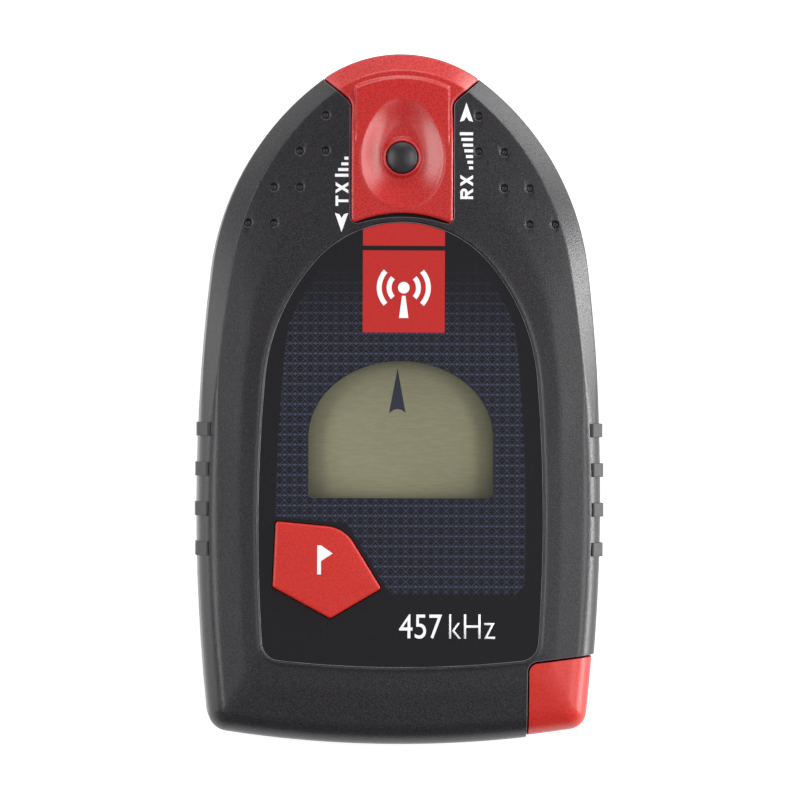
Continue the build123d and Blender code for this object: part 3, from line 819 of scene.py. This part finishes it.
def bars(x, y, count, way):
    """Signal strength bars that grow or shrink up the casing, standing on a line at x."""
    pitch, width = 0.98, 0.52
    loops = []
    for i in range(count):
        rank = i if way > 0 else count - 1 - i
        tall = 0.7 + 1.6 * rank / (count - 1)
        start = y + i * pitch
        loops.append([(x - tall, start), (x, start), (x, start + width), (x - tall, start + width)])
    return loops


def waves(x, y, facing):
    """Two arcs of a radio wave spreading from a point."""
    return [ring_sector(x, y, r, r + 0.85, facing - 42, facing + 42) for r in (2.1, 3.8)]


def arrowhead(x, y, way):
    """Notched arrowhead, pointing up or down the casing."""
    half, length, notch = 1.15, 3.3, 0.9
    tail, step = half * 0.35, y + way * notch * 0.25
    return [(x, y + way * length), (x - half, y), (x - tail, step), (x, y + way * notch), (x + tail, step),
            (x + half, y)]


def ring_sector(cx, cy, r0, r1, start, end, steps=18):
    """Part of a ring, or of a disc where r0 is 0, between two angles in degrees."""
    angles = np.radians(np.linspace(start, end, steps))
    outer = [(cx + r1 * cos(a), cy + r1 * sin(a)) for a in angles]
    if r0 == 0:
        return outer
    return outer + [(cx + r0 * cos(a), cy + r0 * sin(a)) for a in reversed(angles)]


# ---------------- materials


class Field:
    """A number that varies over a surface, so that a pattern can be written as a sum."""

    def __init__(self, tree, socket):
        self.tree, self.socket = tree, socket

    def op(self, kind, *others):
        node = self.tree.nodes.new("ShaderNodeMath")
        node.operation = kind
        for slot, value in zip(node.inputs, (self, *others)):
            if isinstance(value, Field):
                self.tree.links.new(value.socket, slot)
            else:
                slot.default_value = value
        return Field(self.tree, node.outputs[0])

    def __add__(self, other):
        return self.op("ADD", other)

    def __sub__(self, other):
        return self.op("SUBTRACT", other)

    def __mul__(self, other):
        return self.op("MULTIPLY", other)

    def __truediv__(self, other):
        return self.op("DIVIDE", other)

    def abs(self):
        return self.op("ABSOLUTE")

    def below(self, edge, blur=0.03):
        """1 where the field is under edge, 0 where it is over."""
        node = self.tree.nodes.new("ShaderNodeMapRange")
        node.interpolation_type = "SMOOTHSTEP"
        self.tree.links.new(self.socket, node.inputs["Value"])
        node.inputs["From Min"].default_value = edge - blur
        node.inputs["From Max"].default_value = edge + blur
        node.inputs["To Min"].default_value = 1
        node.inputs["To Max"].default_value = 0
        return Field(self.tree, node.outputs["Result"])

    def over(self, edge, blur=0.03):
        return self.below(edge, blur).op("SUBTRACT", 1.0).op("ABSOLUTE")

    def most(self, other):
        return self.op("MAXIMUM", other)


class Finish:
    """A material built from one Principled shader."""

    def __init__(self, name):
        self.material = bpy.data.materials.new(name)
        self.material.use_nodes = True
        self.tree = self.material.node_tree
        self.tree.nodes.clear()
        self.shader = self.node("BsdfPrincipled")
        output = self.node("OutputMaterial")
        self.wire(self.shader.outputs[0], output.inputs["Surface"])
        place = self.node("TexCoord")
        self.place = place.outputs["Object"]

    def node(self, kind):
        return self.tree.nodes.new("ShaderNode" + kind)

    def wire(self, source, target):
        self.tree.links.new(source, target)

    def set(self, **values):
        for name, value in values.items():
            self.shader.inputs[name.replace("_", " ")].default_value = value

    def axes(self):
        """x, y and z in millimetres."""
        split = self.node("SeparateXYZ")
        self.wire(self.place, split.inputs[0])
        return [Field(self.tree, out) * 1000.0 for out in split.outputs]

    def noise(self, grain, detail=2.0, stretch=(1, 1, 1)):
        """Noise whose grain is in millimetres."""
        mapping = self.node("Mapping")
        self.wire(self.place, mapping.inputs["Vector"])
        mapping.inputs["Scale"].default_value = stretch
        node = self.node("TexNoise")
        node.inputs["Scale"].default_value = 1000.0 / grain
        node.inputs["Detail"].default_value = detail
        self.wire(mapping.outputs[0], node.inputs["Vector"])
        return Field(self.tree, node.outputs["Fac"])

    def cells(self, grain):
        """Distance to the middle of the nearest cell. The grain is in millimetres."""
        node = self.node("TexVoronoi")
        node.inputs["Scale"].default_value = 1000.0 / grain
        self.wire(self.place, node.inputs["Vector"])
        return Field(self.tree, node.outputs["Distance"])

    def mix(self, a, b, share):
        """Colour a where share is 0 and colour b where it is 1."""
        node = self.node("Mix")
        node.data_type = "RGBA"
        self.wire(share.socket, node.inputs[0])
        for slot, value in ((node.inputs[6], a), (node.inputs[7], b)):
            if isinstance(value, bpy.types.NodeSocket):
                self.wire(value, slot)
            else:
                slot.default_value = (*value, 1)
        return node.outputs[2]

    def colour(self, socket):
        self.wire(socket, self.shader.inputs["Base Color"])

    def rough(self, field):
        self.wire(field.socket, self.shader.inputs["Roughness"])

    def bump(self, field, depth, edge=0.0):
        """Relief, over edges that look rounded. Depth and edge radius are in millimetres."""
        node = self.node("Bump")
        node.inputs["Distance"].default_value = depth * MM
        self.wire(field.socket, node.inputs["Height"])
        if edge:
            bevel = self.node("Bevel")
            bevel.samples = 4
            bevel.inputs["Radius"].default_value = edge * MM
            self.wire(bevel.outputs["Normal"], node.inputs["Normal"])
        self.wire(node.outputs[0], self.shader.inputs["Normal"])


def srgb(*values):
    """Linear colour from the usual 0 to 255 values."""
    return tuple(((v / 255 + 0.055) / 1.055) ** 2.4 if v > 10 else v / 255 / 12.92 for v in values)


def moulded(name, dark, light, rough, grain=0.32, depth=0.02, glint_amount=0.5, edge=0.2, specular=0.5):
    """Spark-eroded moulded plastic: grain, pale flecks painted in as glints off the grain, uneven gloss and
    eased edges.
    """
    finish = Finish(name)
    fine = finish.noise(grain, 3.0)
    broad = finish.noise(9.0, 2.0)
    # painted glints: pale flecks in the colour stand in for sparkle off the grain
    glints = finish.noise(grain * 0.8, 1.0).over(0.60, 0.06) * glint_amount
    base = finish.mix(dark, light, (broad - 0.5) * 0.3 + fine.over(0.5, 0.12))
    pale = tuple(min(1, 2.4 * c + 0.02) for c in light)
    finish.colour(finish.mix(base, pale, glints * 0.35))
    finish.rough((fine - 0.5) * 0.22 + rough)
    finish.set(Specular_IOR_Level=specular)
    finish.bump(fine, depth, edge)
    return finish.material


def satin(name, colour, rough=0.4, mottle=None, grain=0.5, depth=0.006, edge=0.15, metallic=0.0):
    """Plain smooth part with faint mottling."""
    finish = Finish(name)
    fine = finish.noise(grain, 2.0)
    broad = finish.noise(6.0, 3.0)
    paler = tuple(min(1, c * 1.25 + 0.01) for c in colour)
    # mottle: patches of a second colour at random; on the film edge and lip beads they vary a painted
    # highlight
    finish.colour(finish.mix(colour, mottle or paler, broad.over(0.52, 0.12) * 0.5))
    finish.rough((fine - 0.5) * 0.16 + rough)
    finish.set(Metallic=metallic)
    finish.bump(fine, depth, edge)
    return finish.material


def turned(name, colour, rough=0.28):
    """Plated metal with fine machining marks."""
    finish = Finish(name)
    marks = finish.noise(0.16, 2.0, (1, 12, 1))
    dull = tuple(c * 0.7 for c in colour)
    finish.colour(finish.mix(colour, dull, finish.noise(2.0).over(0.55, 0.15) * 0.5))
    finish.rough((marks - 0.5) * 0.25 + rough)
    finish.set(Metallic=1.0)
    finish.bump(marks, 0.008, 0.1)
    return finish.material


def winding(name):
    """Enamelled copper wire wound side by side."""
    finish = Finish(name)
    x, y, z = finish.axes()
    wire = 0.45
    turns = ((x + y + z) * (2 * pi / wire)).op("SINE")
    # painted shade and highlight: the colour is darker in the grooves between turns and paler on their
    # crests
    finish.colour(finish.mix(srgb(122, 58, 28), srgb(196, 110, 60), turns * 0.5 + 0.5))
    finish.set(Metallic=0.8, Roughness=0.35)
    finish.bump(turns, 0.12)
    return finish.material


def label_print():
    """Printed panel: diamond mesh field, red block with a divider, and plain black elsewhere."""
    finish = Finish("label_print")
    x, y, _ = finish.axes()
    pitch = 1.74

    def stripes(field, width):
        return ((field / pitch).op("FRACT") - 0.5).abs().below(width / pitch / 2, 0.035)

    rows = stripes(y, 0.13)
    rising = stripes(x + y, 0.12)
    falling = stripes(x - y, 0.12)
    across = ((x / pitch).op("FRACT") - 0.5) * pitch
    upright = ((y / pitch).op("FRACT") - 0.5) * pitch
    dots = (across * across + upright * upright).op("SQRT").below(0.26, 0.06)
    half_rows = stripes(y + pitch / 2, 0.10)
    mesh = (rows * 0.6).most(rising * 0.7).most(falling * 0.7).most(dots * 0.6).most(half_rows * 0.25)

    def inside_arc(cx, cy, radius, blur=0.06):
        out = x.abs() - cx
        return (out * out + (y - cy) * (y - cy)).op("SQRT").below(radius, blur)

    def near_button(a, b):
        """1 inside the flag button's edge from corner a to corner b, and in the margin round it."""
        run, drop = FLAG_CORNERS[b][0] - FLAG_CORNERS[a][0], FLAG_CORNERS[a][1] - FLAG_CORNERS[b][1]
        size = hypot(run, drop)
        outside = (x - FLAG_CORNERS[a][0]) * (drop / size) + (y - FLAG_CORNERS[a][1]) * (run / size)
        return outside.below(FLAG_MARGIN, 0.05)

    shoulder = inside_arc(*FIELD_SHOULDER).most(y.below(3.0))
    field = inside_arc(*FIELD_SIDE) * shoulder * y.over(-33.5, 0.05) * y.below(16.0, 9.0)
    field = field * (x - y).below(53.2, 0.05)
    field = field * (near_button(0, 1) * near_button(1, 2) - 1.0).abs()
    speck = finish.noise(0.4, 2.0)
    ground = finish.mix(srgb(14, 12, 16), srgb(26, 23, 28), speck)
    field_ground = finish.mix(srgb(15, 14, 20), srgb(24, 23, 32), speck)
    blend = finish.mix(ground, field_ground, field)
    blend = finish.mix(blend, srgb(76, 81, 104), mesh * field)
    block = (x - BLOCK_X).abs().below(BLOCK_HALF)
    square = block * y.over(BLOCK_FOOT) * y.below(BLOCK_HEAD)
    cap = block * y.over(CAP_FOOT) * inside_arc(0.0, LABEL[0] - LABEL[1], LABEL[1] - 0.15, 0.03)
    red = finish.mix(srgb(178, 36, 34), srgb(192, 44, 40), speck)
    finish.colour(finish.mix(blend, red, square.most(cap)))
    finish.rough((speck - 0.5) * 0.12 + 0.42)
    finish.set(Specular_IOR_Level=0.25)
    finish.bump(speck, 0.004, 0.12)
    return finish.material


def window_glass():
    """Clear window with a faint haze."""
    finish = Finish("window_clear")
    haze = finish.noise(12.0, 2.0)
    finish.colour(finish.mix((0.10, 0.10, 0.09), (0.16, 0.16, 0.14), haze))
    finish.rough(haze * 0.05 + 0.12)
    finish.set(Alpha=0.05, Specular_IOR_Level=0.3)
    return finish.material


def lcd_face():
    """Grey-green display with a faint dot grid and brushed streaks, and painted shade darkening it round
    its rim.
    """
    finish = Finish("lcd_face")
    x, y, _ = finish.axes()
    cloud = finish.noise(14.0, 2.0)

    def lines(axis):
        return ((axis / 0.6).op("FRACT") - 0.5).abs().below(0.03)

    grid = lines(x).most(lines(y))
    base = finish.mix(srgb(138, 135, 106), srgb(146, 143, 112), cloud)
    base = finish.mix(base, srgb(118, 116, 92), grid * 0.2)
    brushed = finish.noise(0.35, 3.0, (0.18, 1, 1)).over(0.52, 0.12)
    base = finish.mix(base, srgb(158, 155, 122), brushed * 0.35)
    # painted shade: the colour darkens towards the rim, for the shade that the window's walls cast into the
    # recess
    reach = (x / WINDOW_HALF).abs().op("POWER", 3.0) + ((y - DISPLAY_Y) / 12.0).abs().op("POWER", 3.0)
    finish.colour(finish.mix(base, srgb(92, 90, 70), reach.over(0.9, 0.75) * 0.9))
    finish.rough(cloud * 0.1 + 0.45)
    finish.bump(finish.noise(0.3), 0.003)
    return finish.material


def circuit_green():
    """Green lacquer over copper tracks."""
    finish = Finish("circuit_green")
    x = finish.axes()[0]
    tracks = finish.cells(2.2).over(0.42, 0.03)
    lines = ((x / 1.27).op("FRACT") - 0.5).abs().below(0.08, 0.02) * finish.noise(7.0).over(0.5, 0.02)
    finish.colour(finish.mix(srgb(18, 70, 44), srgb(40, 112, 70), tracks.most(lines)))
    finish.set(Roughness=0.35)
    finish.bump(tracks.most(lines), 0.03)
    return finish.material


def cell_sleeve():
    """Printed sleeve with a plain metal end, and no marks."""
    finish = Finish("cell_sleeve")
    band = (finish.axes()[0] - low("battery_cell").x).over(36.0, 0.1)
    finish.colour(finish.mix(srgb(52, 60, 70), srgb(176, 122, 60), band))
    finish.set(Metallic=0.6, Roughness=0.3)
    finish.bump(finish.noise(0.6), 0.01)
    return finish.material


CASING = moulded("casing_grain", srgb(7, 5, 7), srgb(31, 27, 32), 0.34, 0.28, 0.026, 0.9, 0.22, 0.6)
RED = moulded("red_satin", srgb(176, 24, 22), srgb(190, 32, 28), 0.28, 0.34, 0.010, 0.0, 0.20, 0.8)
BRIGHT_RED = moulded("red_cap", srgb(190, 28, 18), srgb(204, 36, 24), 0.38, 0.34, 0.012, 0.0, 0.25, 0.6)
LOCK_BLACK = satin("lock_satin", srgb(34, 31, 34), 0.36, None, 0.4, 0.01)
# painted highlight: the pale grey of the film's edge bead stands in for the light its cut edge catches, and
# its darker mottle varies that highlight
FILM_EDGE_HIGHLIGHT = satin("film_edge", srgb(112, 112, 116), 0.3, srgb(60, 60, 64), 2.0, 0.002, 0)
# painted highlight: a pale grey bead along the cuts stands in for the light caught by the casing's rounded
# lips
LIP_HIGHLIGHT = satin("painted_lip_highlight", srgb(92, 88, 94), 0.32, srgb(62, 58, 64), 1.0, 0.002, 0)
RUBBER = moulded("grip_rubber", srgb(44, 43, 45), srgb(60, 59, 61), 0.45, 0.25, 0.015, 0.2, 0.3)
PRINT_WHITE = satin("print_white", srgb(246, 246, 248), 0.5, srgb(238, 238, 240), 0.3, 0.002, 0)
LCD_INK = satin("lcd_ink", srgb(24, 28, 52), 0.4, srgb(30, 34, 60), 0.3, 0.001, 0)
BLACK = satin("black_plastic", srgb(30, 29, 31), 0.5)
CLEAR = satin("frosted_plastic", srgb(200, 204, 190), 0.35)
STEEL = turned("plated_steel", srgb(190, 190, 192))
NICKEL = turned("nickel_plate", srgb(205, 203, 198), 0.18)
CHIP = satin("chip_epoxy", srgb(28, 28, 30), 0.6, srgb(60, 60, 62), 0.3, 0.01)
FERRITE = satin("ferrite", srgb(52, 50, 50), 0.75, srgb(74, 70, 68), 0.4, 0.03)
SEAL = satin("seal_rubber", srgb(34, 34, 36), 0.7, None, 0.3, 0.01)
COPPER = winding("copper_winding")
MEMBRANE = moulded("membrane_mesh", srgb(44, 44, 46), srgb(70, 70, 72), 0.8, 0.5, 0.06, 0.3, 0)

NODE_FINISHES = (
    (CASING, "rear_case", "battery_door"),
    (SEAL, "case_seal", "door_gasket", "zebra_strips"),
    (RUBBER, "side_grips"),
    (STEEL, "case_screws", "board_screws", "door_hinge_pin", "lock_washer", "lock_tongue", "lock_nut"),
    (NICKEL, "contact_spring", "contact_plate", "slider_magnet", "plug_magnet"),
    (BLACK, "lcd_frame", "lock_retainer", "flag_switch", "door_lock", "speaker"),
    (CLEAR, "lcd_backlight", "mode_sensors"),
    (CHIP, "board_chips", "plug_sensor"),
    (FERRITE, "long_antenna_core", "cross_antenna_core", "upright_antenna_core"),
    (COPPER, "long_antenna_coil", "cross_antenna_coil", "upright_antenna_coil"),
    (MEMBRANE, "speaker_membrane"),
    (label_print(), "label_overlay"),
    (window_glass(), "display_window"),
    (lcd_face(), "lcd_glass"),
    (circuit_green(), "circuit_board"),
    (cell_sleeve(), "battery_cell"),
)


def dress_nodes():
    """Materials for the CAD nodes, and even shading on those with large rounded edges."""
    for material, *names in NODE_FINISHES:
        for name in names:
            mesh = NODES[name].data
            mesh.materials.clear()
            mesh.materials.append(material)
            for polygon in mesh.polygons:
                polygon.material_index = 0
    for name in ("rear_case", "battery_door", "side_grips"):
        even = NODES[name].modifiers.new("even_shading", "WEIGHTED_NORMAL")
        even.keep_sharp = True


# ---------------- making


def make_casing():
    piece("front_casing", front_case_mesh(), "casing", CASING, ["front_case"])
    # the film edge bead carries a painted highlight
    piece("label_film_edge", film_edge_mesh(), "casing", FILM_EDGE_HIGHLIGHT)
    # the lip beads carry a painted highlight
    piece("cut_edges", cut_edges_mesh(), "casing", LIP_HIGHLIGHT)


def make_controls():
    piece("slider_cap", slider_mesh(), "slider", RED, ["mode_slider"])
    piece("lock_knob", lock_button_mesh(), "lock_button", LOCK_BLACK, ["lock_button"])
    coil = piece("lock_coil", lock_coil_mesh(), "slider", STEEL, ["lock_spring"])
    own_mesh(coil)
    piece("flag_cap", flag_button_mesh(), "flag_button", BRIGHT_RED, ["flag_button"])
    piece("corner_key", corner_plug_mesh(), "plug", BRIGHT_RED, ["corner_plug"])


def make_print():
    """White marks on the casing, the label and the flag button, and the arrow on the display."""
    legends = [
        capitals([(letter_t, 1.75), (letter_x, 1.95)], LEGENDS_LEFT, 33.2),
        capitals([(letter_r, 1.8), (letter_x, 1.95)], LEGENDS_RIGHT, 34.5),
        bars(LEGENDS_LEFT, 38.2, 4, -1),
        bars(LEGENDS_RIGHT, 39.6, 7, 1),
        [arrowhead(LEGENDS_LEFT - 1.15, 32.0, -1), arrowhead(LEGENDS_RIGHT - 1.15, 47.8, 1)],
    ]
    legends = joined("mode_legends", [flat("legend", loops) for loops in legends])
    piece("mode_legends", legends, "casing", PRINT_WHITE)
    sign = [ring_sector(BLOCK_X, SIGN_Y, 0, 1.0, 0, 345, 24)]
    sign += waves(BLOCK_X, SIGN_Y, 0) + waves(BLOCK_X, SIGN_Y, 180)
    sign.append([(BLOCK_X - 0.3, SIGN_Y - 1.4), (BLOCK_X + 0.3, SIGN_Y - 1.4),
                 (BLOCK_X + 0.8, SIGN_Y - 5.2), (BLOCK_X - 0.8, SIGN_Y - 5.2)])
    piece("signal_mark", flat("signal_mark", sign, PRINT_Z), "casing", PRINT_WHITE)
    band = [
        text_mesh("band", "kHz", 4.2, (8.4, -41.1), 7.9, -0.012),
        text_mesh("band", "457", 4.2, (-0.2, -41.1), 7.4),
    ]
    piece("band_text", joined("band_text", band), "casing", PRINT_WHITE)
    pole = [(-14.35, -30.1), (-13.7, -30.1), (-13.7, -25.1), (-14.35, -25.1)]
    pennant = [(-13.7, -25.1), (-11.7, -26.5), (-13.7, -27.8)]
    flag = flat("flag_icon", [pole, pennant], high("flag_button").z)
    piece("flag_icon", flag, "flag_button", PRINT_WHITE)
    arrow = [(-0.5, 5.3), (0.9, -2.3), (0.2, -1.8), (-0.5, -1.65), (-1.25, -1.85), (-1.95, -2.4)]
    arrow = flat("display_arrow", [arrow], high("lcd_glass").z + 0.01)
    piece("display_arrow", arrow, "casing", LCD_INK)


# ---------------- stage, lights and camera


def make_floor():
    """White table that glows a little."""
    size = 1.6
    corners = [(-size, -size, 0), (size, -size, 0), (size, size, 0), (-size, size, 0)]
    mesh = bpy.data.meshes.new("floor")
    mesh.from_pydata(corners, [], [(0, 1, 2, 3)])
    floor = placed("floor", mesh)
    finish = Finish("light_table")
    paper = finish.noise(3.0)
    finish.colour(finish.mix((0.88, 0.88, 0.88), (0.92, 0.92, 0.92), paper))
    finish.set(Roughness=0.9, Emission_Color=(1, 1, 1, 1), Emission_Strength=0.55)
    mesh.materials.append(finish.material)
    floor.location.z = -0.0002


def softbox(name, place, size, power):
    """Area light aimed at the object. Size is across and up, in metres."""
    lamp = bpy.data.lights.new(name, "AREA")
    lamp.shape = "RECTANGLE"
    lamp.size, lamp.size_y = size
    lamp.energy = power
    thing = placed(name, lamp)
    thing.location = place
    thing.rotation_euler = (-Vector(place)).to_track_quat("-Z", "Y").to_euler()


def make_lights():
    """Low lamps for the flanks, high ones for the dish, and an even surrounding."""
    for name, place, size, power in (
        ("key_right", (0.80, 0.0, 0.12), (0.45, 0.20), 5.1),
        ("key_corner", (0.58, 0.55, 0.12), (0.45, 0.20), 2.2),
        ("fill_left", (-0.80, 0.05, 0.12), (0.45, 0.20), 1.0),
        ("fill_corner", (-0.55, 0.55, 0.12), (0.45, 0.20), 0.7),
        ("fill_top", (0.0, 0.8, 0.40), (0.6, 0.3), 2),
        ("high_right", (0.48, 0.05, 0.55), (0.6, 0.2), 2.0),
        ("high_left", (-0.48, 0.05, 0.52), (0.6, 0.2), 1.9),
        ("top_right", (0.27, -0.05, 0.85), (0.4, 0.16), 0.40),
        ("top_left", (-0.30, -0.05, 0.85), (0.4, 0.16), 0.30),
    ):
        softbox(name, place, size, power)
    world = bpy.data.worlds.new("studio")
    world.use_nodes = True
    sky = world.node_tree.nodes["Background"].inputs
    sky["Color"].default_value = (0.95, 0.97, 1.0, 1)
    sky["Strength"].default_value = 0.26
    bpy.context.scene.world = world


def make_camera():
    """Looking straight down on the face, a little from the left, with the frame a little turned."""
    camera = bpy.data.cameras.new("camera")
    camera.sensor_width = 36
    distance, seen = 1.1, 0.1375
    camera.lens = camera.sensor_width * distance / seen
    thing = placed("camera", camera)
    tilt, roll = radians(2.8), radians(0.25)
    target = Vector((-0.0002, -0.0001, 0.024))
    thing.location = target + Vector((-sin(tilt), 0, cos(tilt))) * distance
    thing.rotation_euler = (Matrix.Rotation(-tilt, 3, "Y") @ Matrix.Rotation(roll, 3, "Z")).to_euler()
    bpy.context.scene.camera = thing


bpy.context.scene.view_settings.view_transform = "Standard"
make_camera()
make_lights()
make_floor()
dress_nodes()
make_casing()
make_controls()
make_print()
